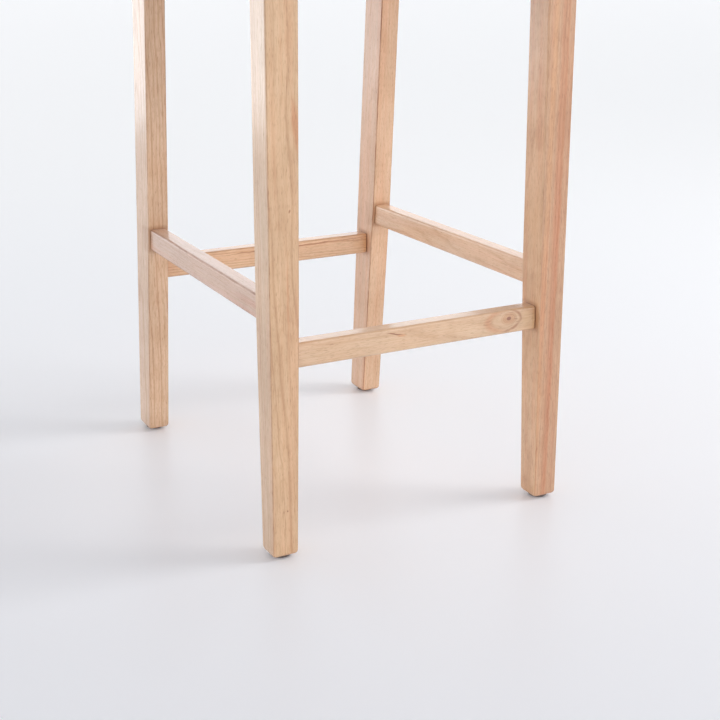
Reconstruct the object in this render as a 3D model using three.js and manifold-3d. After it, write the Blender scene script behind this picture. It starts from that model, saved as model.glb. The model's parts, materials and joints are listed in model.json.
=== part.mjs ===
// A wooden bar stool with a foot rail: four tapered legs, four mortised foot rails,
// a seat frame of four aprons with screwed corner blocks, a dished solid wood seat and nail-in glides.
// Units are millimetres. +Z is up, the front faces -Y, and the origin is on the floor,
// at the centre of the stool's bounding box.
import * as THREE from 'three';
import { mergeVertices } from 'three/addons/utils/BufferGeometryUtils.js';
import Module from 'manifold-3d';

const wasm = await Module();
wasm.setup();

// ---- driving dimensions -------------------------------------------------------------------

const GAP = 0.3; // clearance between two pieces that touch
const OVERALL_DEPTH = 534; // from the seat's front edge to the back of the rear feet

// Legs. Sizes are [across, deep] at the foot, at the knee where the taper starts, and at the top.
const LEG_TOP = 730;
const KNEE_HEIGHT = 321;
const FRONT_FOOT_WIDTH = 420; // over the outside of the front feet
const REAR_FOOT_WIDTH = 402; // over the outside of the rear feet
const SIDE_SPLAY = 0.0065; // the legs lean inwards as they rise, mm per mm
const REAR_RAKE = 0.0888; // the rear legs lean forwards as they rise by 5 degrees, mm per mm
const FRONT_LEG_SIZES = { foot: [33.5, 33.5], knee: [38, 41.5], top: [40.5, 41.5] };
const REAR_LEG_SIZES = { foot: [31, 43.5], knee: [30.5, 52], top: [29, 51.5] };
const LEG_ARRIS = 2;
const FOOT_ROUNDING = { inset: 2.8, height: 5, segments: 3 };

// Foot rails, each centred on the legs that it joins.
const RAIL = { thickness: 22.5, height: 31, arris: 3 };
const RAIL_TENON = { thickness: 12, height: 22, length: 20 };
const FRONT_RAIL_TOP = 272.5;
const REAR_RAIL_TOP = 275.5;
const SIDE_RAIL_TOP = 324.5;

// Seat frame.
const APRON = { thickness: 22, height: 50, arris: 2, setback: 4 };
const APRON_TENON = { thickness: 10, height: 36, length: 15 };
const BLOCK = { reach: 78, end: 20, height: 30, drop: 1 }; // reach and end from the aprons' mid-thickness

// Seat.
const SEAT_THICKNESS = 28;
const SEAT_OVERHANG = { front: 8, side: 7, rear: 6 };
const SEAT_CORNER_RADIUS = 20;
const SEAT_EDGE_RADIUS = 9;
const SEAT_UNDERSIDE_CHAMFER = 3;
const DISH = { depth: 8, rim: 26, reach: 120, steps: 7, rounding: 0.4 };

// Screws and glides.
const SCREW = { shank: 4, head: 8, rim: 0.4, countersink: 2.4, tip: 5 };
const RECESS = { depth: 1.4, width: 1.1, span: 4.6 };
const APRON_SCREW = { length: 30, grip: 14, inset: 20 }; // inset from the end of the block
const SEAT_SCREW = { length: 45, offset: 36 }; // offset from the aprons' mid-thickness
const GLIDE = { diameter: 25, thickness: 4, edge: 1.2 };
const NAIL = { shank: 2.6, head: 9, headBottom: 1.4, headTop: 2.6, length: 22, tip: 4 };

const ARRIS_SEGMENTS = 4;
const SEAT_CORNER_SEGMENTS = 8;
const EDGE_SEGMENTS = 4;
const SCREW_SEGMENTS = 12;
const GLIDE_SEGMENTS = 32;

// Values that follow from the driving dimensions.
const FOOT_Z = GLIDE.thickness + GAP;
const REAR_FACE_Y = OVERALL_DEPTH / 2 + REAR_RAKE * (FOOT_Z + FOOT_ROUNDING.height); // at floor level
const SEAT_FRONT_Y = -OVERALL_DEPTH / 2;
const FRONT_FACE_Y = SEAT_FRONT_Y + SEAT_OVERHANG.front;
const SEAT_BOTTOM = LEG_TOP + GAP;
const SEAT_TOP = SEAT_BOTTOM + SEAT_THICKNESS;
const APRON_Z = LEG_TOP - APRON.height / 2;
const BLOCK_BOTTOM = LEG_TOP - BLOCK.drop - BLOCK.height;
const UP = new THREE.Vector3(0, 0, 1);

// ---- materials ----------------------------------------------------------------------------

const material = (color, roughness, metalness) => () =>
  new THREE.MeshStandardMaterial({ color, roughness, metalness });
const legWood = material('#dcc0a2', 0.42, 0);
const railWood = material('#d9bb9b', 0.42, 0);
const apronWood = material('#d6b896', 0.45, 0);
const seatWood = material('#dfc4a4', 0.4, 0);
const blockWood = material('#cfae88', 0.7, 0);
const zincSteel = material('#b9b6ac', 0.35, 0.9);
const nailSteel = material('#a9a9a6', 0.4, 0.9);
const glidePlastic = material('#4a3f38', 0.55, 0);

// ---- closed meshes that can be cut and joined -----------------------------------------------

function solidOf(geometry) {
  const bare = geometry.clone();
  bare.deleteAttribute('normal');
  bare.deleteAttribute('uv');
  const merged = mergeVertices(bare, 1e-4);
  const vertProperties = new Float32Array(merged.attributes.position.array);
  const triVerts = new Uint32Array(merged.index.array);
  return new wasm.Manifold(new wasm.Mesh({ numProp: 3, vertProperties, triVerts }));
}

function geometryOf(solid) {
  const mesh = solid.getMesh();
  const geometry = new THREE.BufferGeometry();
  geometry.setAttribute('position', new THREE.BufferAttribute(new Float32Array(mesh.vertProperties), 3));
  geometry.setIndex(new THREE.BufferAttribute(new Uint32Array(mesh.triVerts), 1));
  geometry.computeVertexNormals();
  return geometry;
}

const cut = (solid, tools) => tools.reduce((rest, tool) => rest.subtract(tool), solid);

// A unit vector square to the edge from one plan point to the next, pointing out of the outline.
function edgeNormal(from, to) {
  return new THREE.Vector2(to.y - from.y, from.x - to.x).normalize();
}

// An anticlockwise outline with its corners rounded to a radius, as points at height z.
function roundedRing(corners, radius, segments, z) {
  return corners.flatMap((corner, i) => {
    const before = corners[(i + corners.length - 1) % corners.length];
    const after = corners[(i + 1) % corners.length];
    const normalIn = edgeNormal(before, corner);
    const normalOut = edgeNormal(corner, after);
    const inset = radius / (1 + normalIn.dot(normalOut));
    const centre = corner.clone().addScaledVector(normalIn, -inset).addScaledVector(normalOut, -inset);
    const start = normalIn.angle();
    const sweep = (normalOut.angle() - start + 2 * Math.PI) % (2 * Math.PI);
    return Array.from({ length: segments + 1 }, (_, step) => {
      const angle = start + (sweep * step) / segments;
      const x = centre.x + radius * Math.cos(angle);
      const y = centre.y + radius * Math.sin(angle);
      return new THREE.Vector3(x, y, z);
    });
  });
}

// A closed skin over anticlockwise rings with the same number of points, from the bottom one
// to the last. A fan closes each end.
function loft(rings) {
  const count = rings[0].length;
  const positions = rings.flat().flatMap((point) => point.toArray());
  const indices = [];
  for (let ring = 0; ring < rings.length - 1; ring += 1) {
    for (let i = 0; i < count; i += 1) {
      const a = ring * count + i;
      const b = ring * count + ((i + 1) % count);
      indices.push(a, b, b + count, a, b + count, a + count);
    }
  }
  const closeEnd = (ring, start, facesUp) => {
    const hub = new THREE.Vector3();
    ring.forEach((point) => hub.addScaledVector(point, 1 / count));
    const middle = positions.length / 3;
    positions.push(...hub.toArray());
    for (let i = 0; i < count; i += 1) {
      const a = start + i;
      const b = start + ((i + 1) % count);
      indices.push(middle, facesUp ? a : b, facesUp ? b : a);
    }
  };
  closeEnd(rings[0], 0, false);
  closeEnd(rings[rings.length - 1], (rings.length - 1) * count, true);
  const geometry = new THREE.BufferGeometry();
  geometry.setAttribute('position', new THREE.Float32BufferAttribute(positions, 3));
  geometry.setIndex(indices);
  return solidOf(geometry);
}

// A level bar with eased edges from one point to another, both on the middle of its section.
function bar(start, end, thickness, height, radius) {
  const along = end.clone().sub(start);
  const length = along.length();
  along.normalize();
  const halfThickness = thickness / 2;
  const halfHeight = height / 2;
  const corners = [
    new THREE.Vector2(-halfThickness, -halfHeight),
    new THREE.Vector2(halfThickness, -halfHeight),
    new THREE.Vector2(halfThickness, halfHeight),
    new THREE.Vector2(-halfThickness, halfHeight),
  ];
  const section = new THREE.Shape(roundedRing(corners, radius, ARRIS_SEGMENTS, 0));
  const geometry = new THREE.ExtrudeGeometry(section, { depth: length, bevelEnabled: false });
  const across = UP.clone().cross(along);
  geometry.applyMatrix4(new THREE.Matrix4().makeBasis(across, UP, along).setPosition(start));
  return solidOf(geometry);
}

// A turned solid. The profile lists [radius, distance along the axis], from one end to the other.
function turned(profile, segments, origin, direction) {
  const points = profile.map(([radius, distance]) => new THREE.Vector2(radius, distance));
  const geometry = new THREE.LatheGeometry(points, segments);
  const turn = new THREE.Quaternion().setFromUnitVectors(new THREE.Vector3(0, 1, 0), direction);
  geometry.applyQuaternion(turn);
  geometry.translate(origin.x, origin.y, origin.z);
  return solidOf(geometry);
}

// ---- legs -----------------------------------------------------------------------------------

const LEGS = {
  front: {
    halfWidth: FRONT_FOOT_WIDTH / 2, faceY: FRONT_FACE_Y, outward: -1, rake: 0, sizes: FRONT_LEG_SIZES,
  },
  rear: {
    halfWidth: REAR_FOOT_WIDTH / 2, faceY: REAR_FACE_Y, outward: 1, rake: REAR_RAKE, sizes: REAR_LEG_SIZES,
  },
};
const SIDES = { left: -1, right: 1 };

function legSize(sizes, axis, z) {
  if (z < KNEE_HEIGHT) {
    return THREE.MathUtils.lerp(sizes.foot[axis], sizes.knee[axis], z / KNEE_HEIGHT);
  }
  return THREE.MathUtils.lerp(sizes.knee[axis], sizes.top[axis], (z - KNEE_HEIGHT) / (LEG_TOP - KNEE_HEIGHT));
}

// Where a leg's four faces are at height z: x as distances from the middle plane, y as places.
function legFaces(leg, z) {
  const outerX = leg.halfWidth - SIDE_SPLAY * z;
  const outerY = leg.faceY - leg.outward * leg.rake * z;
  return {
    outerX,
    innerX: outerX - legSize(leg.sizes, 0, z),
    outerY,
    innerY: outerY - leg.outward * legSize(leg.sizes, 1, z),
  };
}

function legCentre(leg, side, z) {
  const { outerX, innerX, outerY, innerY } = legFaces(leg, z);
  return new THREE.Vector3((side * (outerX + innerX)) / 2, (outerY + innerY) / 2, z);
}

function legRing(leg, side, z, grow, radius) {
  const { outerX, innerX, outerY, innerY } = legFaces(leg, z);
  const [left, right] = [side * outerX, side * innerX].sort((a, b) => a - b);
  const [front, back] = [outerY, innerY].sort((a, b) => a - b);
  const corners = [
    new THREE.Vector2(left - grow, front - grow),
    new THREE.Vector2(right + grow, front - grow),
    new THREE.Vector2(right + grow, back + grow),
    new THREE.Vector2(left - grow, back + grow),
  ];
  return roundedRing(corners, radius + grow, ARRIS_SEGMENTS, z);
}

// A leg before its joints are cut. Its end is rounded over, and its corners get rounder towards it.
function legBlank(leg, side) {
  const ring = (z, inset) => legRing(leg, side, z, -inset, 2 * inset + LEG_ARRIS);
  const foot = Array.from({ length: FOOT_ROUNDING.segments }, (_, step) => {
    const angle = (step / FOOT_ROUNDING.segments) * (Math.PI / 2);
    const height = FOOT_ROUNDING.height * (1 - Math.cos(angle));
    return ring(FOOT_Z + height, FOOT_ROUNDING.inset * (1 - Math.sin(angle)));
  });
  return loft([
    ...foot,
    ring(FOOT_Z + FOOT_ROUNDING.height, 0),
    ring(KNEE_HEIGHT, 0),
    ring(LEG_TOP, 0),
  ]);
}

// The leg with its clearance, for cutting the pieces that butt against it.
function legClearance(leg, side) {
  return loft([FOOT_Z, KNEE_HEIGHT, LEG_TOP + GAP].map((z) => legRing(leg, side, z, GAP, LEG_ARRIS)));
}

// ---- rails and aprons -------------------------------------------------------------------------

const pointBetween = (start, end, y) => start.clone().lerp(end, (y - start.y) / (end.y - start.y));

// A piece across the stool between two legs, and one from a front leg to the rear leg behind it.
function crossPiece(leg, z, y, section, tenon) {
  const reach = legFaces(leg, z).innerX + tenon.length;
  const legX = legCentre(leg, SIDES.right, z).x;
  return {
    section,
    tenon,
    start: new THREE.Vector3(-legX, y, z),
    end: new THREE.Vector3(legX, y, z),
    tenonStart: new THREE.Vector3(-reach, y, z),
    tenonEnd: new THREE.Vector3(reach, y, z),
  };
}

function sidePiece(side, z, frontX, rearX, section, tenon) {
  const start = new THREE.Vector3(side * frontX, legCentre(LEGS.front, side, z).y, z);
  const end = new THREE.Vector3(side * rearX, legCentre(LEGS.rear, side, z).y, z);
  return {
    section,
    tenon,
    start,
    end,
    tenonStart: pointBetween(start, end, legFaces(LEGS.front, z).innerY - tenon.length),
    tenonEnd: pointBetween(start, end, legFaces(LEGS.rear, z).innerY + tenon.length),
  };
}

function crossRail(leg, top) {
  const z = top - RAIL.height / 2;
  return crossPiece(leg, z, legCentre(leg, SIDES.right, z).y, RAIL, RAIL_TENON);
}

function sideRail(side) {
  const z = SIDE_RAIL_TOP - RAIL.height / 2;
  const centreX = (leg) => legCentre(leg, SIDES.right, z).x;
  return sidePiece(side, z, centreX(LEGS.front), centreX(LEGS.rear), RAIL, RAIL_TENON);
}

// The aprons stand back a little from the outside of the legs, measured at the top.
const apronX = (leg) => legFaces(leg, LEG_TOP).outerX - APRON.setback - APRON.thickness / 2;
const apronY = (leg) => legFaces(leg, LEG_TOP).outerY - leg.outward * (APRON.setback + APRON.thickness / 2);

const crossApron = (leg) => crossPiece(leg, APRON_Z, apronY(leg), APRON, APRON_TENON);
const sideApron = (side) => {
  return sidePiece(side, APRON_Z, apronX(LEGS.front), apronX(LEGS.rear), APRON, APRON_TENON);
};

const lengthened = (start, end, extra) =>
  end.clone().addScaledVector(end.clone().sub(start).normalize(), extra);

function sectionBar({ start, end, section }, grow) {
  return bar(start, end, section.thickness + 2 * grow, section.height + 2 * grow, section.arris + grow);
}

function tenonBar({ tenonStart, tenonEnd, tenon }, grow) {
  const start = lengthened(tenonEnd, tenonStart, grow);
  const end = lengthened(tenonStart, tenonEnd, grow);
  const thickness = tenon.thickness + 2 * grow;
  return bar(start, end, thickness, tenon.height + 2 * grow, thickness / 2 - GAP);
}

// ---- screws, nails and glides ------------------------------------------------------------------

// A countersunk wood screw. The head's face is at the origin and the tip lies along the direction.
function screw(origin, direction, length) {
  const [head, shank] = [SCREW.head / 2, SCREW.shank / 2];
  const neck = SCREW.rim + SCREW.countersink;
  const profile = [
    [0, 0], [head, 0], [head, SCREW.rim], [shank, neck], [shank, length - SCREW.tip], [0, length],
  ];
  const blank = turned(profile, SCREW_SEGMENTS, origin, direction);
  const turn = new THREE.Quaternion().setFromUnitVectors(UP, direction);
  const slots = [[RECESS.span, RECESS.width], [RECESS.width, RECESS.span]].map(([width, height]) => {
    const slot = new THREE.BoxGeometry(width, height, 2 * RECESS.depth);
    slot.applyQuaternion(turn);
    slot.translate(origin.x, origin.y, origin.z);
    return solidOf(slot);
  });
  return cut(blank, slots);
}

// The hole for that screw, with a pocket of some depth above its head.
function screwHole(origin, direction, length, pocket) {
  const [head, shank] = [SCREW.head / 2 + GAP, SCREW.shank / 2 + GAP];
  const neck = SCREW.rim + SCREW.countersink;
  const end = length + GAP;
  const profile = [[0, -pocket], [head, -pocket], [head, SCREW.rim], [shank, neck], [shank, end], [0, end]];
  return turned(profile, SCREW_SEGMENTS, origin, direction);
}

function nail(foot, grow) {
  const [head, shank] = [NAIL.head / 2 + grow, NAIL.shank / 2 + grow];
  const [low, high] = [NAIL.headBottom - grow, NAIL.headTop + grow];
  const end = NAIL.headTop + NAIL.length + grow;
  const profile = [[0, low], [head, low], [head, high], [shank, high], [shank, end - NAIL.tip], [0, end]];
  return turned(profile, SCREW_SEGMENTS, foot, UP);
}

// A round foot with its bottom edge eased, hollow only around the nail's head.
function glide(foot) {
  const radius = GLIDE.diameter / 2;
  const profile = [
    [0, 0],
    [radius - GLIDE.edge, 0],
    [radius, GLIDE.edge],
    [radius, GLIDE.thickness],
    [0, GLIDE.thickness],
  ];
  return cut(turned(profile, GLIDE_SEGMENTS, foot, UP), [nail(foot, GAP)]);
}

// ---- seat -----------------------------------------------------------------------------------

// The seat's outline moved inwards by some distance, its corners rounder the further it moves.
function seatRing(inset, z) {
  const [front, rear] = [legFaces(LEGS.front, LEG_TOP), legFaces(LEGS.rear, LEG_TOP)];
  const frontX = front.outerX + SEAT_OVERHANG.side - inset;
  const rearX = rear.outerX + SEAT_OVERHANG.side - inset;
  const frontY = SEAT_FRONT_Y + inset;
  const rearY = rear.outerY + SEAT_OVERHANG.rear - inset;
  const corners = [
    new THREE.Vector2(-frontX, frontY),
    new THREE.Vector2(frontX, frontY),
    new THREE.Vector2(rearX, rearY),
    new THREE.Vector2(-rearX, rearY),
  ];
  const radius = SEAT_CORNER_RADIUS - Math.min(inset, SEAT_EDGE_RADIUS) + DISH.rounding * inset;
  return roundedRing(corners, radius, SEAT_CORNER_SEGMENTS, z);
}

function seatBlank() {
  const rings = [
    seatRing(SEAT_UNDERSIDE_CHAMFER, SEAT_BOTTOM),
    seatRing(0, SEAT_BOTTOM + SEAT_UNDERSIDE_CHAMFER),
  ];
  for (let step = 0; step <= EDGE_SEGMENTS; step += 1) {
    const angle = (step / EDGE_SEGMENTS) * (Math.PI / 2);
    const inset = SEAT_EDGE_RADIUS * (1 - Math.cos(angle));
    rings.push(seatRing(inset, SEAT_TOP - SEAT_EDGE_RADIUS * (1 - Math.sin(angle))));
  }
  for (let step = 0; step <= DISH.steps; step += 1) {
    const share = step / DISH.steps;
    const drop = DISH.depth * THREE.MathUtils.smootherstep(share, 0, 1);
    rings.push(seatRing(DISH.rim + (DISH.reach - DISH.rim) * share, SEAT_TOP - drop));
  }
  return loft(rings);
}

// ---- corners of the seat frame ------------------------------------------------------------------

// What a corner needs: where the two aprons' middles cross, and the ways into the frame from there.
function cornerOf(leg, side) {
  return {
    point: new THREE.Vector3(side * apronX(leg), apronY(leg), 0),
    inX: new THREE.Vector3(-side, 0, 0),
    inY: new THREE.Vector3(0, -leg.outward, 0),
  };
}

const cornerPlace = ({ point, inX, inY }, alongX, alongY, z) =>
  point.clone().addScaledVector(inX, alongX).addScaledVector(inY, alongY).setZ(z);

function blockBlank(corner) {
  const plan = [
    [0, 0], [BLOCK.reach, 0], [BLOCK.reach, BLOCK.end], [BLOCK.end, BLOCK.reach], [0, BLOCK.reach],
  ];
  const outline = plan.map(([alongX, alongY]) => cornerPlace(corner, alongX, alongY, 0));
  const geometry = new THREE.ExtrudeGeometry(new THREE.Shape(outline), {
    depth: BLOCK.height,
    bevelEnabled: false,
  });
  geometry.translate(0, 0, BLOCK_BOTTOM);
  return solidOf(geometry);
}

// Two screws from each block into its aprons, and one up into the seat.
function cornerScrews(corner) {
  const seatedAt = APRON.thickness / 2 + APRON_SCREW.grip;
  const along = BLOCK.reach - APRON_SCREW.inset;
  const middle = BLOCK_BOTTOM + BLOCK.height / 2;
  return {
    side: {
      origin: cornerPlace(corner, seatedAt, along, middle),
      direction: corner.inX.clone().negate(),
      length: APRON_SCREW.length,
      pocket: BLOCK.reach,
    },
    cross: {
      origin: cornerPlace(corner, along, seatedAt, middle),
      direction: corner.inY.clone().negate(),
      length: APRON_SCREW.length,
      pocket: BLOCK.reach,
    },
    seat: {
      origin: cornerPlace(corner, SEAT_SCREW.offset, SEAT_SCREW.offset, BLOCK_BOTTOM + SCREW.rim),
      direction: UP,
      length: SEAT_SCREW.length,
      pocket: BLOCK.height,
    },
  };
}

// ---- the stool --------------------------------------------------------------------------------

const stool = new THREE.Group();

function addPiece(name, solid, makeMaterial) {
  const mesh = new THREE.Mesh(geometryOf(solid), makeMaterial());
  mesh.name = name;
  stool.add(mesh);
}

const legList = Object.entries(LEGS).flatMap(([row, leg]) =>
  Object.entries(SIDES).map(([sideName, side]) => ({ label: `${row}_${sideName}`, leg, side })),
);
const rails = {
  front_foot_rail: crossRail(LEGS.front, FRONT_RAIL_TOP),
  rear_foot_rail: crossRail(LEGS.rear, REAR_RAIL_TOP),
  left_foot_rail: sideRail(SIDES.left),
  right_foot_rail: sideRail(SIDES.right),
};
const aprons = {
  front_apron: crossApron(LEGS.front),
  rear_apron: crossApron(LEGS.rear),
  left_apron: sideApron(SIDES.left),
  right_apron: sideApron(SIDES.right),
};
const mortises = [...Object.values(rails), ...Object.values(aprons)].map((piece) => tenonBar(piece, GAP));
const legClearances = legList.map(({ leg, side }) => legClearance(leg, side));
const apronClearances = Object.values(aprons).map((piece) => sectionBar(piece, GAP));
const corners = legList.map(({ label, leg, side }) => {
  const corner = cornerOf(leg, side);
  return { label, corner, screws: cornerScrews(corner) };
});
const screwHoles = corners.flatMap(({ screws }) =>
  Object.values(screws).map(({ origin, direction, length, pocket }) =>
    screwHole(origin, direction, length, pocket),
  ),
);

legList.forEach(({ label, leg, side }) => {
  const foot = legCentre(leg, side, FOOT_Z).setZ(0);
  addPiece(`${label}_leg`, cut(legBlank(leg, side), [...mortises, nail(foot, GAP)]), legWood);
  addPiece(`${label}_glide`, glide(foot), glidePlastic);
  addPiece(`${label}_glide_nail`, nail(foot, 0), nailSteel);
});

const joinery = (piece) => cut(sectionBar(piece, 0), legClearances).add(tenonBar(piece, 0));
Object.entries(rails).forEach(([name, piece]) => addPiece(name, joinery(piece), railWood));
Object.entries(aprons).forEach(([name, piece]) => addPiece(name, cut(joinery(piece), screwHoles), apronWood));

corners.forEach(({ label, corner, screws }) => {
  const block = cut(blockBlank(corner), [...apronClearances, ...legClearances, ...screwHoles]);
  addPiece(`${label}_corner_block`, block, blockWood);
  Object.entries(screws).forEach(([kind, { origin, direction, length }]) => {
    addPiece(`${label}_${kind}_screw`, screw(origin, direction, length), zincSteel);
  });
});

addPiece('seat', cut(seatBlank(), screwHoles), seatWood);

export default stool;
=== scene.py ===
"""Looks of a wooden bar stool with a foot rail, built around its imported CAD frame.

Every length is in metres unless its name says mm. The stool's front faces -Y.
"""
import json
import math
from collections import namedtuple

import bpy
from mathutils import Matrix, Vector

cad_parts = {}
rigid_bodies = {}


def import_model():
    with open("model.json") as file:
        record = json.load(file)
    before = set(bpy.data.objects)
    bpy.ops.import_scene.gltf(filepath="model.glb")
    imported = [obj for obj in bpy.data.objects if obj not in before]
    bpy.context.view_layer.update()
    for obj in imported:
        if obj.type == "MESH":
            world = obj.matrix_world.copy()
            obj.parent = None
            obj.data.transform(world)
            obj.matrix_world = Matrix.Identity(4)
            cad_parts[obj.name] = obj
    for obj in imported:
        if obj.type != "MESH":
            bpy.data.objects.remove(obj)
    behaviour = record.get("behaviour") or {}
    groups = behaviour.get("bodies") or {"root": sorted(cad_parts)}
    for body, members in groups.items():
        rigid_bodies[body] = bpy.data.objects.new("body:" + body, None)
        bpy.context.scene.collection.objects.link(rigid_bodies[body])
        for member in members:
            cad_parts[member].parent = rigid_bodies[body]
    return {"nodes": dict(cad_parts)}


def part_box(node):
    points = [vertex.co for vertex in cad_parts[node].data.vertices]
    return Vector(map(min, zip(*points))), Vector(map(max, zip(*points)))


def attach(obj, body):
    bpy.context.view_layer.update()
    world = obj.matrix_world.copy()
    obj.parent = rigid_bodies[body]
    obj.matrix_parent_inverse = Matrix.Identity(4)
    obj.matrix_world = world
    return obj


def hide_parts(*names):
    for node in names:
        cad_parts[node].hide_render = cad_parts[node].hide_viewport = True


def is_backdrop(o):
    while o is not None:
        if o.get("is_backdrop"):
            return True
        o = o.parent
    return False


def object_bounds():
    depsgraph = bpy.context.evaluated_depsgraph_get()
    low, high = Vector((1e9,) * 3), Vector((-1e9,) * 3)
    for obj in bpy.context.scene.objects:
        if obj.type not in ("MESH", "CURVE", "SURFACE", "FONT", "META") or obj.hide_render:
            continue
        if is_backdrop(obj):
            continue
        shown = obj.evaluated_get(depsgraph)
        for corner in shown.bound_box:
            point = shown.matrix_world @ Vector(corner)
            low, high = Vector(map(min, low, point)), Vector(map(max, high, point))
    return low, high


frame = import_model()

cad_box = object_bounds()
NODES = frame["nodes"]
X, Y, Z = Vector((1, 0, 0)), Vector((0, 1, 0)), Vector((0, 0, 1))
REAR_LEG_LEAN = Vector((0, -0.0888, 1))  # the rear legs lean forwards as they rise
MM = 1000  # millimetres in a metre


def middle_of(node):
    low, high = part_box(node)
    return (low + high) / 2


def corners_of(node):
    piece = NODES[node]
    return [piece.matrix_world @ vertex.co for vertex in piece.data.vertices]


def mesh_object(name, points, faces):
    mesh = bpy.data.meshes.new(name)
    mesh.from_pydata(points, [], faces)
    thing = bpy.data.objects.new(name, mesh)
    bpy.context.scene.collection.objects.link(thing)
    return thing


# ---- materials and their nodes ----------------------------------------------------------------

# Noise over a place, scaled by one number or by one for each axis. It starts to show at low, and
# shows fully from high.
Veil = namedtuple("Veil", "scale detail low high roughness", defaults=(0.5,))


def colour(red, green, blue):
    """A display colour from 0 to 255 as linear light, with alpha."""
    def linear(value):
        share = value / 255
        return share / 12.92 if share <= 0.04045 else ((share + 0.055) / 1.055) ** 2.4
    return (linear(red), linear(green), linear(blue), 1.0)


class Graph:
    """A material's node tree, with short calls that add a node and feed its inputs."""

    def __init__(self, name):
        self.material = bpy.data.materials.new(name)
        self.material.use_nodes = True
        self.tree = self.material.node_tree
        self.shader = self.tree.nodes["Principled BSDF"]

    def feed(self, socket, value):
        """Link an input to what another node puts out, or set it to a plain value."""
        if isinstance(value, bpy.types.NodeSocket):
            self.tree.links.new(value, socket)
        else:
            socket.default_value = value

    def set(self, node, **inputs):
        for name, value in inputs.items():
            self.feed(node.inputs[name.replace("_", " ")], value)

    def add(self, kind, settings=None, **inputs):
        node = self.tree.nodes.new(kind)
        for name, value in (settings or {}).items():
            setattr(node, name, value)
        self.set(node, **inputs)
        return node

    def math(self, operation, *values):
        node = self.add("ShaderNodeMath", {"operation": operation})
        for socket, value in zip(node.inputs, values):
            self.feed(socket, value)
        return node.outputs[0]

    def times(self, value, *factors):
        for factor in factors:
            value = self.math("MULTIPLY", value, factor)
        return value

    def scaled(self, value, factor, offset):
        return self.math("MULTIPLY_ADD", value, factor, offset)

    def rest(self, share):
        """What a share leaves of 1."""
        return self.math("SUBTRACT", 1.0, share)

    def ramp(self, value, low, high):
        """0 below low, 1 above high, and smooth between."""
        node = self.add("ShaderNodeMapRange", {"interpolation_type": "SMOOTHSTEP"},
                        Value=value, From_Min=low, From_Max=high)
        return node.outputs["Result"]

    def near(self, value, middle, width):
        """1 where a value is at its middle, and 0 from width away."""
        away = self.math("ABSOLUTE", self.math("SUBTRACT", value, middle))
        return self.rest(self.ramp(away, 0.0, width))

    def vector(self, operation, *values):
        node = self.add("ShaderNodeVectorMath", {"operation": operation})
        for socket, value in zip(node.inputs, values):
            self.feed(socket, value)
        return node.outputs["Value" if operation in ("LENGTH", "DOT_PRODUCT") else "Vector"]

    def part(self, vector, axis):
        return self.add("ShaderNodeSeparateXYZ", None, Vector=vector).outputs[axis]

    def joined(self, **parts):
        return self.add("ShaderNodeCombineXYZ", None, **parts).outputs["Vector"]

    def millimetres(self):
        """Places in the stool's frame, in millimetres."""
        return self.vector("MULTIPLY", self.add("ShaderNodeTexCoord").outputs["Object"], (MM, MM, MM))

    def noise(self, vector, scale, detail=2.0, roughness=0.5):
        """Noise about 0.5, over a vector scaled by one number or by one for each axis."""
        if isinstance(scale, tuple):
            vector = self.vector("MULTIPLY", vector, scale)
            scale = 1.0
        node = self.add("ShaderNodeTexNoise", None,
                        Vector=vector, Scale=scale, Detail=detail, Roughness=roughness)
        return node.outputs["Fac"]

    def veil(self, vector, veil):
        """How much of a veil shows at a place, from 0 to 1."""
        noise = self.noise(vector, veil.scale, veil.detail, veil.roughness)
        return self.ramp(noise, veil.low, veil.high)

    def mix(self, share, first, second, blend="MIX"):
        node = self.add("ShaderNodeMix", {"data_type": "RGBA", "blend_type": blend}, Factor=share)
        colours = [socket for socket in node.inputs if socket.type == "RGBA"]
        self.feed(colours[0], first)
        self.feed(colours[1], second)
        return next(socket for socket in node.outputs if socket.type == "RGBA")

    def bump(self, height, strength, depth):
        node = self.add("ShaderNodeBump", None, Height=height, Strength=strength, Distance=depth)
        return node.outputs["Normal"]


def paint(node, material):
    piece = NODES[node]
    piece.data.materials.clear()
    piece.data.materials.append(material)


# ---- wood -------------------------------------------------------------------------------------

# What darkens or tints the wood's tone, as factors on red, green and blue.
PLAIN = (1, 1, 1, 1)
BLOTCH_LIGHT = (1.06, 1.05, 1.04, 1)
BLOTCH_DARK = (0.93, 0.91, 0.88, 1)
PINK = (1.0, 0.86, 0.80, 1)
RING = (0.72, 0.54, 0.38, 1)
FIBRE = (0.84, 0.73, 0.60, 1)
DASH = (0.76, 0.62, 0.47, 1)
PORE = (0.62, 0.48, 0.36, 1)
ARRIS = (0.52, 0.34, 0.22, 1)
# the joint line round a rail's shoulders, partly a dark joint and partly painted shade in its gap
SEAM_AND_GAP_SHADE = (0.30, 0.15, 0.07, 1)
# painted shade on a leg round the ends of its rails and aprons
JOINT_SHADE = (0.60, 0.42, 0.28, 1)
REDDISH = (0.95, 0.74, 0.60, 1)
FAINT_RED = (0.98, 0.86, 0.77, 1)
GOLDEN = (0.88, 0.76, 0.58, 1)
PALE_GOLD = (0.97, 0.91, 0.78, 1)
PEACH = (1.06, 0.98, 0.86, 1)
KNOT_RING = (0.62, 0.40, 0.26, 1)
KNOT_DISC = (0.93, 0.80, 0.69, 1)
KNOT_SMEAR = (0.90, 0.70, 0.58, 1)
KNOT_EYE = (0.45, 0.24, 0.16, 1)
SCRATCH = (0.50, 0.30, 0.18, 1)
FIGURE_LIGHT = (1.02, 1.01, 1.00, 1)
FIGURE_DARK = (0.975, 0.94, 0.90, 1)
STAVE_LIGHT = (1.05, 1.05, 1.05, 1)
STAVE_DARK = (0.90, 0.86, 0.80, 1)
GLUE = (0.70, 0.52, 0.38, 1)

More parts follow.
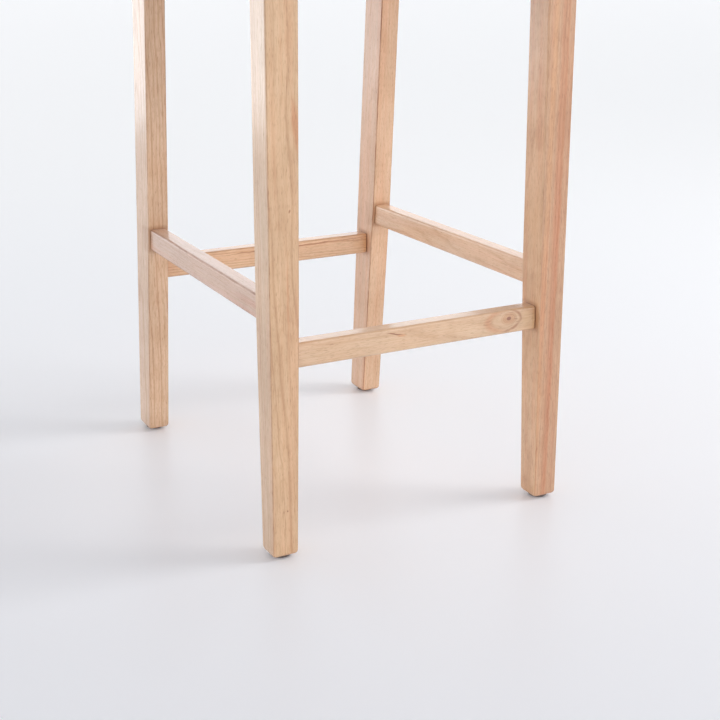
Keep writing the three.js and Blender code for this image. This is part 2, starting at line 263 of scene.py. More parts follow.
# The figure in the wood, over millimetres. A scale of three is across the grain both ways, and
# along it.
BLOTCHES = Veil((0.03, 0.03, 0.007), 3.0, 0.3, 0.7)
STREAKS = Veil((0.10, 0.10, 0.0035), 3.0, 0.42, 0.68)
FIBRES = Veil((0.9, 0.9, 0.018), 3.0, 0.38, 0.72, 0.65)
DASHES = Veil((0.70, 0.70, 0.050), 2.0, 0.56, 0.68)
PORES = Veil((1.7, 1.7, 0.12), 1.0, 0.60, 0.70)
FIGURE = Veil((0.012, 0.022, 0.030), 2.0, 0.40, 0.64)
ARRIS_WEAR = Veil((0.02, 0.02, 0.035), 3.0, 0.35, 0.6)
KNOT_PATCHES = Veil(0.08, 2.0, 0.35, 0.6)
FIBRE_SHARE, PORE_SHARE, END_GRAIN_SHARE = 0.6, 0.7, 0.7
SEED_SHIFT_MM = (37.0, 91.0, 153.0)  # how far one step of the seed moves the figure

# The year rings.
WANDER_SCALE = (0.011, 0.011, 0.0045)
RIPPLE_SCALE = (0.05, 0.05, 0.016)
RIPPLE_MM = 4.0
YEAR_SCALE = 0.55  # how fast the years' widths change, by the number of years
YEAR_SHIFT = 1.3  # how many years they change by
YEAR_SEED = 11.0  # how many years one step of the seed moves the rings
YEAR_SHOWS = (0.25, 0.6)
LATE_WOOD_POWER = 6.0  # the higher, the narrower the dark line in each ring

# How squarely a face has to look along an axis to be counted with it, from nothing to fully.
FACE_SHOWS = (0.5, 0.8)
END_GRAIN_SHOWS = (0.5, 0.9)
FLAT_SHOWS = (0.78, 0.99)

# Marks and knots. Distances from an oval are 1 on its edge. A waver is noise of a scale, times a
# factor, plus an offset.
MARK_FADES = (0.35, 1.0)
MARK_WOBBLE = dict(scale=0.05, factor=0.30, offset=-0.15)
MARK_DRIFT = dict(scale=(0.0, 0.0, 0.035), factor=6.0, offset=-3.0)  # millimetres across the grain
KNOT_PULL = -0.9  # how fast the bend of the grain round a knot dies away
KNOT_SIDE_MM = 12.0  # how far from its middle a knot's near side has turned into its far side
KNOT_SMEAR_LEVEL = 0.95
KNOT_PATCHINESS = dict(factor=0.5, offset=0.45)
KNOT_CLEARS_DASHES = (0.5, 1.1)
KNOT_DISC_FADES = (1.5, 3.4)
KNOT_EYE_FADES = (0.55, 1.1)
# Each ring is a distance and half a width. The inner rings also have a share of their own.
KNOT_SHARP_RING, KNOT_SMEARED_RING, KNOT_INNER_RING = (0.97, 0.15), (0.92, 0.34), (0.70, 0.14)
KNOT_INNER_SHARE = 0.15
KNOT_EYE_RINGS = (((2.7, 0.3), 0.25), ((2.0, 0.3), 0.35), ((1.4, 0.25), 0.35))

STAVE_SHIFT_MM = (50, 60, 900)  # how far one stave's grain may lie from the next one's
GLUE_LINE_MM = (0.15, 0.5)
GLUE_SHARE = 0.6

SEAM_MM = 1.6  # half the width of the dark line where a rail meets a leg, partly a dark joint and partly painted shade in the gap
SEAM_CORE = 0.4  # the part of that where it is darkest
SEAM_SHARE = 0.85
SEAM_ROUGHNESS = dict(scale=0.25, factor=1.2, offset=-0.6)
# Painted shade round each joint on a leg: how far it reaches, and how strongly it darkens.
JOINT_SHADE_MM = 7.0  # how far the painted shade reaches on a leg, around a rail
JOINT_SHADE_SHARE = 0.6
JOINT_MARGIN = 0.004  # how far outside a leg's box the end of its rail may reach
SAME_HEIGHT = 1e-5  # points that differ by less lie at one height

# The finish.
LACQUER_ROUGHNESS, BARE_ROUGHNESS, FIBRE_ROUGHNESS = 0.46, 0.72, 0.12
COAT_ROUGHNESS, COAT_IOR = 0.16, 1.5
ARRIS_COAT_LOSS = 0.8  # how much of the lacquer is gone from a fully worn edge
BARE_SPECULAR, LACQUER_SPECULAR = 0.3, 0.5
FIBRE_HEIGHT, GRAIN_BUMP, GRAIN_DEPTH = 0.3, 0.12, 0.0004

JOINED = [f"{side}_{kind}" for kind in ("foot_rail", "apron")
          for side in ("front", "rear", "left", "right")]


def grain_axes(grain, across):
    along = Vector(grain).normalized()
    first = (Vector(across) - along * Vector(across).dot(along)).normalized()
    return first, along.cross(first), along


def shoulders(node, along):
    """The planes of a rail's two shoulders, each as a point and a unit vector square to it."""
    points = corners_of(node)
    level = Z.cross(along)
    low, high = min(point.z for point in points), max(point.z for point in points)
    for end in (min, max):
        bottom, top = (end((point for point in points if abs(point.z - height) < SAME_HEIGHT),
                           key=along.dot) for height in (low, high))
        yield bottom, (top - bottom).cross(level).normalized()


def joints_on(leg):
    """The boxes of the rail and apron ends that are let into a leg."""
    leg_low, leg_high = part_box(leg)
    for rail in JOINED:
        inside = [point for point in corners_of(rail)
                  if all(leg_low[axis] - JOINT_MARGIN < point[axis] < leg_high[axis] + JOINT_MARGIN
                         for axis in (0, 1))]
        if inside:
            yield (Vector(min(point[axis] for point in inside) for axis in range(3)),
                   Vector(max(point[axis] for point in inside) for axis in range(3)))


class Wood(Graph):
    """Wood's node tree, in millimetres. place is in the stool's frame. local is from the piece's
    middle, with X the way that the best face looks, Y across that face and Z along the grain. Each
    of the tints is a factor on the wood's tone."""

    def __init__(self, node, grain, across):
        super().__init__(node + "_wood")
        self.axes = grain_axes(grain, across)
        turn = Matrix(self.axes)
        middle_mm = turn @ (middle_of(node) * MM)
        coordinates = self.add("ShaderNodeTexCoord")
        self.place = self.vector("MULTIPLY", coordinates.outputs["Object"], (MM, MM, MM))
        self.local = self.add("ShaderNodeMapping", None, Vector=coordinates.outputs["Object"],
                              Location=-middle_mm, Rotation=turn.to_euler(),
                              Scale=(MM, MM, MM)).outputs["Vector"]
        self.normal = coordinates.outputs["Normal"]
        self.best_face = self.ramp(self.vector("DOT_PRODUCT", self.normal, self.axes[0]), *FACE_SHOWS)
        self.wobble = self.waver(self.local, **MARK_WOBBLE)
        self.tints = []

    def waver(self, vector, scale, factor, offset):
        return self.scaled(self.noise(vector, scale), factor, offset)

    def tint(self, share, factor, base=PLAIN):
        """Tint the wood from a base towards a factor, by a share."""
        self.tints.append(self.mix(share, base, factor))

    def oval(self, vector, centre, radii, angle=0):
        """Distance over the best face from an oval's middle, about 1 on its edge. Its centre and radii
        are (along, across), and its angle is in degrees."""
        along = self.math("SUBTRACT", self.part(vector, "Z"), centre[0])
        across = self.math("SUBTRACT", self.part(vector, "Y"), centre[1])
        cosine, sine = math.cos(math.radians(angle)), math.sin(math.radians(angle))
        turned_along = self.scaled(across, sine, self.times(along, cosine))
        turned_across = self.scaled(along, -sine, self.times(across, cosine))
        reach = self.joined(X=self.math("DIVIDE", turned_along, radii[0]),
                            Y=self.math("DIVIDE", turned_across, radii[1]))
        return self.math("ADD", self.vector("LENGTH", reach), self.wobble)

    def knot(self, centre, radii, eye, eye_radii):
        """A knot on the best face, and the bend of the grain round it. Its outer ring is sharp on the
        far side along the grain and smeared on the near side. Returns the distance from it."""
        edge = self.oval(self.local, centre, radii)
        from_eye = self.oval(self.local, eye, eye_radii)
        past_middle = self.math("SUBTRACT", self.part(self.local, "Z"), centre[0])
        far_side = self.ramp(past_middle, -KNOT_SIDE_MM, KNOT_SIDE_MM)
        near_side = self.math("SUBTRACT", KNOT_SMEAR_LEVEL, far_side)
        patches = self.scaled(self.veil(self.local, KNOT_PATCHES), **KNOT_PATCHINESS)
        shares = [
            (self.times(self.near(edge, *KNOT_SHARP_RING), patches, far_side), KNOT_RING),
            (self.times(self.near(edge, *KNOT_SMEARED_RING), near_side), KNOT_SMEAR),
            (self.times(self.near(edge, *KNOT_INNER_RING), KNOT_INNER_SHARE), KNOT_RING),
            (self.rest(self.ramp(from_eye, *KNOT_DISC_FADES)), KNOT_DISC),
            (self.rest(self.ramp(from_eye, *KNOT_EYE_FADES)), KNOT_EYE),
        ]
        shares += [(self.times(self.near(from_eye, *ring), share), KNOT_RING)
                   for ring, share in KNOT_EYE_RINGS]
        for share, factor in shares:
            self.tint(self.times(share, self.best_face), factor)

        pull = self.math("EXPONENT", self.times(edge, edge, KNOT_PULL))
        off_knot = self.math("SUBTRACT", self.part(self.local, "Y"), centre[1])
        self.local = self.vector("SUBTRACT", self.local, self.joined(Y=self.times(off_knot, pull)))
        return edge

    def marks(self, marks):
        """Ovals on the best face that follow the drift of the grain."""
        bent = self.vector("ADD", self.local, self.joined(Y=self.waver(self.local, **MARK_DRIFT)))
        for centre, radii, angle, factor in marks:
            share = self.rest(self.ramp(self.oval(bent, centre, radii, angle), *MARK_FADES))
            self.tint(self.times(share, self.best_face), factor)

    def staves(self, width_mm, seed):
        """Staves glued side by side, each with a tone and a grain of its own."""
        lane = self.math("ADD", self.math("DIVIDE", self.part(self.local, "Y"), width_mm), 0.5)
        pick = self.add("ShaderNodeTexWhiteNoise", {"noise_dimensions": "1D"},
                        W=self.math("ADD", self.math("FLOOR", lane), seed))
        over = self.math("FRACT", lane)
        from_edge = self.times(self.math("MINIMUM", over, self.rest(over)), width_mm)
        self.tint(pick.outputs["Value"], STAVE_DARK, STAVE_LIGHT)
        self.tint(self.times(self.rest(self.ramp(from_edge, *GLUE_LINE_MM)), GLUE_SHARE), GLUE)
        shift = self.vector("MULTIPLY", pick.outputs["Color"], STAVE_SHIFT_MM)
        self.local = self.vector("ADD", self.local, shift)

    def late_wood(self, seeded, pith_mm, spacing_mm, taper, wave_mm, seed):
        """The dark line in each year ring, from 0 to 1."""
        off_x = self.math("SUBTRACT", self.part(self.local, "X"), pith_mm[0])
        off_y = self.math("SUBTRACT", self.part(self.local, "Y"), pith_mm[1])
        distance = self.math("SQRT", self.math("ADD", self.times(off_x, off_x), self.times(off_y, off_y)))
        distance = self.scaled(self.part(self.local, "Z"), taper, distance)
        distance = self.scaled(self.noise(seeded, WANDER_SCALE), wave_mm, distance)
        distance = self.scaled(self.noise(seeded, RIPPLE_SCALE), RIPPLE_MM, distance)
        turns = self.math("DIVIDE", distance, spacing_mm)
        year = self.add("ShaderNodeTexNoise", {"noise_dimensions": "1D"}, Scale=YEAR_SCALE, Detail=2.0,
                        W=self.math("ADD", turns, seed * YEAR_SEED)).outputs["Fac"]
        turns = self.scaled(year, YEAR_SHIFT, turns)
        wave = self.scaled(self.math("COSINE", self.times(turns, math.tau)), 0.5, 0.5)
        return self.times(self.math("POWER", wave, LATE_WOOD_POWER), self.ramp(year, *YEAR_SHOWS))

    def arrises(self, seeded, arris, side):
        """Darker finish on eased edges and end grain, and the factor on the side faces, which is painted
        light: the reflections and shade that fall on those faces. Returns how
            much of an eased edge shows."""
        best, beside, end_grain = (self.math("ABSOLUTE", self.vector("DOT_PRODUCT", self.normal, axis))
                                   for axis in self.axes)
        flat = self.math("MAXIMUM", self.math("MAXIMUM", best, beside), end_grain)
        broken = self.scaled(self.veil(seeded, ARRIS_WEAR), 0.5, 0.5)
        eased = self.times(self.rest(self.ramp(flat, *FLAT_SHOWS)), broken)
        self.tint(self.times(eased, arris), ARRIS)
        self.tint(self.times(self.ramp(end_grain, *END_GRAIN_SHOWS), END_GRAIN_SHARE), DASH)
        # Painted light: the faces beside the best face tinted paler and bluer, or darker, for the
        # reflections and shade that fall on them.
        if side != PLAIN:
            self.tint(self.ramp(beside, *FACE_SHOWS), side)
        return eased

    def seams_and_gap_shade(self, node):
        """The dark line round a rail where its shoulders meet the legs: partly the dark joint itself, and
        partly painted shade in the gap between rail and leg.
        """
        for point, direction in shoulders(node, self.axes[2]):
            offset = self.vector("SUBTRACT", self.place, point * MM)
            away = self.math("ABSOLUTE", self.vector("DOT_PRODUCT", offset, direction))
            away = self.math("ADD", away, self.waver(self.place, **SEAM_ROUGHNESS))
            line = self.rest(self.ramp(away, SEAM_CORE * SEAM_MM, SEAM_MM))
            self.tint(self.times(line, SEAM_SHARE), SEAM_AND_GAP_SHADE)

    def painted_joint_shade(self, node):
        """Painted shade: a leg painted darker round each rail and apron that meets it, where shade falls
        in the joint's corners.
        """
        for low, high in joints_on(node):
            centre, half = (low + high) * MM / 2, (high - low) * MM / 2
            offset = self.vector("ABSOLUTE", self.vector("SUBTRACT", self.place, centre))
            outside = self.vector("MAXIMUM", self.vector("SUBTRACT", offset, half), (0, 0, 0))
            share = self.rest(self.ramp(self.vector("LENGTH", outside), 0.0, JOINT_SHADE_MM))
            self.tint(self.times(share, JOINT_SHADE_SHARE), JOINT_SHADE)

    def tinted(self, tone):
        tint = colour(*tone)
        for factor in self.tints:
            tint = self.mix(1.0, tint, factor, "MULTIPLY")
        return tint


def wood(node, tone, grain, across, pith_mm, spacing_mm=5.5, taper=0.02, wave_mm=26.0, pink=0.5,
         ring=0.6, dash=0.5, arris=0.3, marks=(), knot=None, seed=0.0, bare=False, stave_mm=None,
         coat=0.8, side=PLAIN):
    """Rubberwood, under a satin lacquer unless it is bare. The tone is a display colour.

    grain is the way the fibres run, and across is the way that the best face looks. pith_mm is where
    the tree's middle is, from the piece's middle: along across, and square to across and the grain.
    spacing_mm is a ring's width, taper is how fast the rings widen along the grain, and wave_mm is how
    far they wander. pink, ring, dash and arris are the shares of the pink streaks, the ring lines, the
    short dashes and the dark edges. Marks are ovals on the best face: centre, radii, angle, factor.
    stave_mm is the width of the staves that a piece is glued up from. coat is the lacquer's share, and
    side is a factor on the two faces beside the best face, which is painted light: those faces painted
    paler, bluer or darker for the reflections and shade on them."""
    graph = Wood(node, grain, across)
    if knot:
        edge = graph.knot(**knot)
        dash = graph.times(graph.ramp(edge, *KNOT_CLEARS_DASHES), dash)
    if marks:
        graph.marks(marks)
    if stave_mm:
        graph.staves(stave_mm, seed)

    seeded = graph.vector("ADD", graph.local, tuple(seed * shift for shift in SEED_SHIFT_MM))
    late = graph.late_wood(seeded, pith_mm, spacing_mm, taper, wave_mm, seed)
    fibre = graph.noise(seeded, FIBRES.scale, FIBRES.detail, FIBRES.roughness)
    pores = graph.times(graph.veil(seeded, PORES), PORE_SHARE)
    graph.tint(graph.veil(seeded, BLOTCHES), BLOTCH_DARK, BLOTCH_LIGHT)
    graph.tint(graph.veil(seeded, FIGURE), FIGURE_DARK, FIGURE_LIGHT)
    graph.tint(graph.times(graph.veil(seeded, STREAKS), pink), PINK)
    graph.tint(graph.times(late, ring), RING)
    graph.tint(graph.times(graph.ramp(fibre, FIBRES.low, FIBRES.high), FIBRE_SHARE), FIBRE)
    graph.tint(graph.times(graph.veil(seeded, DASHES), dash), DASH)
    graph.tint(pores, PORE)
    eased = graph.arrises(seeded, arris, side)
    if node in JOINED:
        graph.seams_and_gap_shade(node)
    if node.endswith("_leg"):
        graph.painted_joint_shade(node)

    height = graph.scaled(pores, -1.0, graph.times(fibre, FIBRE_HEIGHT))
    roughness = graph.scaled(fibre, FIBRE_ROUGHNESS, BARE_ROUGHNESS if bare else LACQUER_ROUGHNESS)
    if bare:
        finish = dict(Coat_Weight=0.0, Specular_IOR_Level=BARE_SPECULAR)
    else:
        finish = dict(Coat_Weight=graph.scaled(eased, -ARRIS_COAT_LOSS * coat * arris, coat),
                      Specular_IOR_Level=LACQUER_SPECULAR + coat / 2)
    graph.set(graph.shader, Base_Color=graph.tinted(tone), Roughness=roughness,
              Normal=graph.bump(height, GRAIN_BUMP, GRAIN_DEPTH),
              Coat_Roughness=COAT_ROUGHNESS, Coat_IOR=COAT_IOR, **finish)
    return graph.material


# A leg's side tint is painted light: the reflections and shade on its side faces.
WOOD_CUTS = {
    "front_left_leg": dict(
        tone=(212, 177, 140), grain=Z, across=-Y, pith_mm=(-34, -46), wave_mm=22, seed=1.3,
        ring=0.55, arris=0.5, side=(1.0, 1.07, 1.2, 1),
        marks=[((-40, 3), (70, 1.8), 0.5, FAINT_RED), ((160, 16), (38, 6), -6, REDDISH),
               ((-303, -3), (1.6, 1.2), 0, SCRATCH), ((66, 7), (3, 1.5), 20, KNOT_RING)]),
    "front_right_leg": dict(
        tone=(199, 158, 125), grain=Z, across=-Y, pith_mm=(5, 90), spacing_mm=5, taper=0.005,
        wave_mm=8, seed=2.1, pink=0.9, ring=0.4, dash=0.55, arris=0.1, side=(1.13, 1.2, 1.17, 1),
        marks=[((0, 3), (700, 9), 0.3, FAINT_RED), ((0, 7), (700, 3), 0.4, FAINT_RED),
               ((0, -11), (700, 6), 0.2, PEACH)]),
    "rear_left_leg": dict(
        tone=(215, 184, 155), grain=REAR_LEG_LEAN, across=-Y, pith_mm=(-14, -60), spacing_mm=5,
        wave_mm=16, seed=3.7, pink=0.2, ring=0.65, dash=0.6, arris=0.45, coat=0.65,
        side=(1.0, 1.02, 1.08, 1)),
    "rear_right_leg": dict(
        tone=(222, 188, 158), grain=REAR_LEG_LEAN, across=-Y, pith_mm=(20, -80), spacing_mm=5,
        seed=4.9, pink=0.6, ring=0.2, dash=0.2, arris=1.0, coat=0.4, side=(0.94, 0.93, 0.96, 1)),
    "front_foot_rail": dict(
        tone=(216, 183, 150), grain=X, across=-Y, pith_mm=(-75, 30), spacing_mm=6, seed=5.2,
        pink=0.2, ring=0.35, dash=0.2, arris=0.15, coat=1.0,
        knot=dict(centre=(122, -2.9), radii=(25.5, 14.5), eye=(129.8, -4.5), eye_radii=(4.2, 2.9)),
        marks=[((-38, -8), (15, 1.1), 12, SCRATCH), ((-28, -5), (9, 2.5), 8, REDDISH),
               ((168, 0), (26, 22), 0, PALE_GOLD)]),
    "rear_foot_rail": dict(
        tone=(225, 187, 151), grain=X, across=-Y, pith_mm=(10, 60), spacing_mm=4.5, wave_mm=10,
        seed=6.6, pink=0.4, ring=0.65, dash=0.3, arris=0.4,
        marks=[((40, -9), (170, 1.2), -0.6, KNOT_RING), ((190, 0), (60, 30), 0, GOLDEN)]),
    "left_foot_rail": dict(
        tone=(208, 176, 157), grain=Y, across=-X, pith_mm=(20, 80), spacing_mm=5, wave_mm=12,
        seed=7.4, pink=0.9, ring=0.2, dash=0.1, arris=1.0, coat=0.7),
    "right_foot_rail": dict(
        tone=(222, 189, 159), grain=Y, across=-X, pith_mm=(-60, 30), spacing_mm=6, seed=8.8,
        pink=0.3, ring=0.4, dash=0.25, arris=0.1, coat=0.65),
    "front_apron": dict(tone=(220, 182, 146), grain=X, across=-Y, pith_mm=(-75, 10), seed=9.1),
    "rear_apron": dict(tone=(218, 180, 145), grain=X, across=Y, pith_mm=(-75, -10), seed=10.5),
    "left_apron": dict(tone=(220, 178, 142), grain=Y, across=-X, pith_mm=(-80, 12), seed=11.9),
    "right_apron": dict(tone=(222, 184, 148), grain=Y, across=X, pith_mm=(-80, 5), seed=12.2),
}
SEAT_CUT = dict(tone=(222, 184, 148), grain=X, across=Z, pith_mm=(-55, -30), seed=13.2, stave_mm=68,
                pink=0.4, ring=0.45, dash=0.3, arris=0.1, coat=0.2)
BLOCK_CUT = dict(tone=(214, 186, 150), across=Z, pith_mm=(-60, 20), bare=True, dash=0.6, arris=0.2)
BLOCK_SEED, BLOCK_SEED_STEP = 20.0, 1.7


def paint_wood():
    """Paint every wooden node but the seat. A block's grain runs across its corner of the frame."""
    for node, cut in WOOD_CUTS.items():
        paint(node, wood(node, **cut))
    blocks = sorted(name for name in NODES if name.endswith("_corner_block"))
    for number, node in enumerate(blocks):
        turned = -1 if node.startswith(("front_left", "rear_right")) else 1
        seed = BLOCK_SEED + BLOCK_SEED_STEP * number
        paint(node, wood(node, grain=X + Y * turned, seed=seed, **BLOCK_CUT))


# ---- screws, nails and glides -----------------------------------------------------------------

# A roughness of two numbers is how much a veil adds, and the least.
ZINC_BRIGHT, ZINC_DULL = colour(196, 198, 201), colour(150, 150, 150)
ZINC_YELLOWED = (1.0, 0.93, 0.78, 1)
ZINC_PATCHES = Veil(0.5, 4.0, 0.35, 0.65, 0.6)
ZINC_YELLOWING = Veil(0.25, 2.0, 0.45, 0.7)
ZINC_GRAIN_SCALE, ZINC_BUMP = 6.0, 0.15
ZINC_ROUGHNESS = (0.18, 0.26)
STEEL_BRIGHT, STEEL_DULL = colour(150, 150, 152), colour(98, 96, 95)
STEEL_DRAWN_SCALE = (3.0, 3.0, 0.2)
RUST = colour(112, 66, 40)
RUST_SPECKS = Veil(1.1, 4.0, 0.60, 0.68, 0.65)
RUST_ROUGHNESS = (0.45, 0.35)
GLIDE_DARK, GLIDE_WORN = colour(92, 79, 72), colour(124, 110, 101)
GLIDE_SCUFFS = Veil((0.35, 1.1, 1.0), 4.0, 0.50, 0.70, 0.65)
GLIDE_SOLE_MM = (0.1, 1.3)  # how high the wear on the sole reaches
SOLE_WEAR, SIDE_WEAR = 0.6, 0.25  # what the sole adds to the scuffs, and their share on the sides
GLIDE_GRAIN_SCALE, GLIDE_BUMP = 3.0, 0.2
GLIDE_ROUGHNESS = (0.2, 0.42)
DUST = colour(158, 148, 136)
DUST_SPECKS = Veil(1.6, 3.0, 0.56, 0.70, 0.6)
DUST_SHARE = 0.35
FINE_DEPTH = 0.0001  # of the bumps on metal and plastic


def zinc():
    """Bright zinc plating, gone dull and a little yellow in patches."""
    graph = Graph("zinc_plating")
    place = graph.millimetres()
    patches = graph.veil(place, ZINC_PATCHES)
    tint = graph.mix(patches, ZINC_BRIGHT, ZINC_DULL)
    yellowed = graph.mix(1.0, tint, ZINC_YELLOWED, "MULTIPLY")
    graph.set(graph.shader, Metallic=1.0, Roughness=graph.scaled(patches, *ZINC_ROUGHNESS),
              Base_Color=graph.mix(graph.veil(place, ZINC_YELLOWING), tint, yellowed),
              Normal=graph.bump(graph.noise(place, ZINC_GRAIN_SCALE), ZINC_BUMP, FINE_DEPTH))
    return graph.material


def nail_steel():
    """Plain drawn steel, with specks of rust."""
    graph = Graph("nail_steel")
    place = graph.millimetres()
    drawn = graph.mix(graph.noise(place, STEEL_DRAWN_SCALE, 3.0), STEEL_BRIGHT, STEEL_DULL)
    rust = graph.veil(place, RUST_SPECKS)
    graph.set(graph.shader, Base_Color=graph.mix(rust, drawn, RUST), Metallic=graph.rest(rust),
              Roughness=graph.scaled(rust, *RUST_ROUGHNESS))
    return graph.material


def glide_plastic(node):
    """Dark moulded plastic, scuffed most near the sole, with specks of dust."""
    graph = Graph(node + "_plastic")
    place = graph.millimetres()
    scuffs = graph.veil(place, GLIDE_SCUFFS)
    sole = graph.rest(graph.ramp(graph.part(place, "Z"), *GLIDE_SOLE_MM))
    wear = graph.times(scuffs, graph.scaled(sole, SOLE_WEAR, SIDE_WEAR))
    tint = graph.mix(wear, GLIDE_DARK, GLIDE_WORN)
    dust = graph.times(graph.veil(place, DUST_SPECKS), DUST_SHARE)
    graph.set(graph.shader, Base_Color=graph.mix(dust, tint, DUST),
              Roughness=graph.scaled(scuffs, *GLIDE_ROUGHNESS),
              Normal=graph.bump(graph.noise(place, GLIDE_GRAIN_SCALE), GLIDE_BUMP, FINE_DEPTH))
    return graph.material


def paint_fittings():
    plating, steel = zinc(), nail_steel()
    for node in NODES:
        if node.endswith("_screw"):
            paint(node, plating)
        elif node.endswith("_glide_nail"):
            paint(node, steel)
        elif node.endswith("_glide"):
            paint(node, glide_plastic(node))


# ---- seat -------------------------------------------------------------------------------------

SEAT_CORNER = 0.020  # the outline's corner radius
SEAT_EDGE = 0.009  # the radius along the top edge
SEAT_CHAMFER = 0.003  # along the bottom edge
DISH_DEPTH = 0.008
DISH_RIM = 0.026  # from the outline to where the hollow starts
DISH_REACH = 0.120  # from the outline to the hollow's flat bottom
DISH_ROUNDING = 0.4  # how much rounder the hollow's corners get as it goes in
SEAT_STEP = 0.010  # between points along the outline
CORNER_STEPS, EDGE_STEPS, RIM_STEPS, DISH_STEPS = 14, 8, 2, 30
PILOT_RADIUS, PILOT_LENGTH, PILOT_SIDES = 0.0023, 0.0145, 24
SHARP_DEGREES = 40  # edges that turn by more than this stay sharp


def seat_sides():
    """The seat's half width at its front and rear edges, from the CAD seat's straight sides."""
    points = corners_of("seat")
    low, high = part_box("seat")
    front = max((point for point in points if point.y < 0), key=lambda point: point.x)
    rear = max((point for point in points if point.y > 0), key=lambda point: point.x)
    slope = (rear.x - front.x) / (rear.y - front.y)
    return front.x + slope * (low.y - front.y), front.x + slope * (high.y - front.y)


def corner_arc(before, place, after, radius):
    """Points round the rounded corner at a place on an anticlockwise outline."""
    way_in, way_out = place - before, after - place
    normal_in = Vector((way_in.y, -way_in.x)).normalized()
    normal_out = Vector((way_out.y, -way_out.x)).normalized()
    centre = place - (normal_in + normal_out) * radius / (1 + normal_in.dot(normal_out))
    start = math.atan2(normal_in.y, normal_in.x)
    sweep = math.acos(normal_in.dot(normal_out))
    turns = (start + sweep * step / CORNER_STEPS for step in range(CORNER_STEPS + 1))
    return [centre + Vector((math.cos(turn), math.sin(turn))) * radius for turn in turns]


def seat_ring(inset, z):
    """Points round the seat's outline moved inwards, anticlockwise from its front left corner."""
    low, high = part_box("seat")
    front_half, rear_half = seat_sides()
    corners = [Vector((-front_half, low.y)), Vector((front_half, low.y)),
               Vector((rear_half, high.y)), Vector((-rear_half, high.y))]
    ways_in = [Vector((1, 1)), Vector((-1, 1)), Vector((-1, -1)), Vector((1, -1))]
    places = [corner + way * inset for corner, way in zip(corners, ways_in)]
    radius = SEAT_CORNER - min(inset, SEAT_EDGE) + DISH_ROUNDING * inset
    arcs = [corner_arc(places[number - 1], place, places[(number + 1) % 4], radius)
            for number, place in enumerate(places)]
    ring = []
    for number, arc in enumerate(arcs):
        following = (number + 1) % 4
        parts = round((corners[following] - corners[number]).length / SEAT_STEP)
        ring += arc + [arc[-1].lerp(arcs[following][0], step / parts) for step in range(1, parts)]
    return [(point.x, point.y, z) for point in ring]


def seat_rings():
    """Rings over the seat's whole skin, from its underside to the bottom of its hollow."""
    low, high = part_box("seat")
    yield seat_ring(SEAT_CHAMFER, low.z)
    yield seat_ring(0, low.z + SEAT_CHAMFER)
    for step in range(EDGE_STEPS + 1):
        turn = math.pi / 2 * step / EDGE_STEPS
        yield seat_ring(SEAT_EDGE * (1 - math.cos(turn)), high.z - SEAT_EDGE * (1 - math.sin(turn)))
    for step in range(1, RIM_STEPS):
        yield seat_ring(SEAT_EDGE + (DISH_RIM - SEAT_EDGE) * step / RIM_STEPS, high.z)
    for step in range(DISH_STEPS + 1):
        share = step / DISH_STEPS
        drop = DISH_DEPTH * share ** 3 * (share * (share * 6 - 15) + 10)
        yield seat_ring(DISH_RIM + (DISH_REACH - DISH_RIM) * share, high.z - drop)


def skin(rings, bottom, top):
    """Points and faces of a closed skin over rings, with a fan to a point at each end."""
    count = len(rings[0])
    points = [point for ring in rings for point in ring] + [bottom, top]
    following = [(i + 1) % count for i in range(count)]
    faces = [(here + i, here + following[i], here + count + following[i], here + count + i)
             for here in range(0, (len(rings) - 1) * count, count) for i in range(count)]
    last = (len(rings) - 1) * count
    faces += [(following[i], i, len(points) - 2) for i in range(count)]
    faces += [(last + i, last + following[i], len(points) - 1) for i in range(count)]
    return points, faces


def pilot_holes():
    """The four holes in the seat's underside that its screws are driven into."""
    points, faces = [], []
    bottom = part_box("seat")[0].z
    turns = [math.tau * step / PILOT_SIDES for step in range(PILOT_SIDES)]
    for node in NODES:
        if not node.endswith("_seat_screw"):
            continue
        middle = middle_of(node)
        circle = [(middle.x + PILOT_RADIUS * math.cos(turn), middle.y + PILOT_RADIUS * math.sin(turn))
                  for turn in turns]
        heights = (bottom - PILOT_RADIUS, bottom + PILOT_LENGTH)
        rings = [[(x, y, z) for x, y in circle] for z in heights]
        hole_points, hole_faces = skin(rings, *((middle.x, middle.y, z) for z in heights))
        faces += [tuple(index + len(points) for index in face) for face in hole_faces]
        points += hole_points
    return mesh_object("pilot_holes", points, faces)


def build_seat():
    low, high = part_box("seat")
    middle_y = middle_of("seat").y
    seat = mesh_object("seat_board", *skin(list(seat_rings()), (0, middle_y, low.z),
                                           (0, middle_y, high.z - DISH_DEPTH)))
    holes = pilot_holes()
    drill = seat.modifiers.new("drill", "BOOLEAN")
    drill.operation, drill.solver, drill.object = "DIFFERENCE", "EXACT", holes
    drilled = bpy.data.meshes.new_from_object(seat.evaluated_get(bpy.context.evaluated_depsgraph_get()))
    seat.modifiers.clear()
    seat.data = drilled
    bpy.data.objects.remove(holes)
    drilled.shade_smooth()
    drilled.set_sharp_from_angle(angle=math.radians(SHARP_DEGREES))
    drilled.materials.clear()
    drilled.materials.append(wood("seat", **SEAT_CUT))
    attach(seat, "root")
    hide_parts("seat")


# ---- floor, light and camera ------------------------------------------------------------------

FLOOR_HALF = 40.0
# Painted shade: the floor is painted a little darker near a place left of and in front of the stool, and
# paler away from it.
FLOOR_SHADE_MIDDLE = (-0.8, -0.9, 0)
FLOOR_SHADED = colour(247, 249, 255)
FLOOR_FAR = colour(251, 252, 254)
FLOOR_FADES = (0.3, 4.5)  # from the middle of the painted shade
FLOOR_ROUGHNESS, FLOOR_SPECULAR = 0.35, 0.15

# The backdrop's strength, which falls with the sine of the height above the horizon.
BACKDROP_COLOUR = colour(246, 247, 249)
BACKDROP_FALL = {"From Min": 0.30, "From Max": 0.75, "To Min": 2.05, "To Max": 0.2}

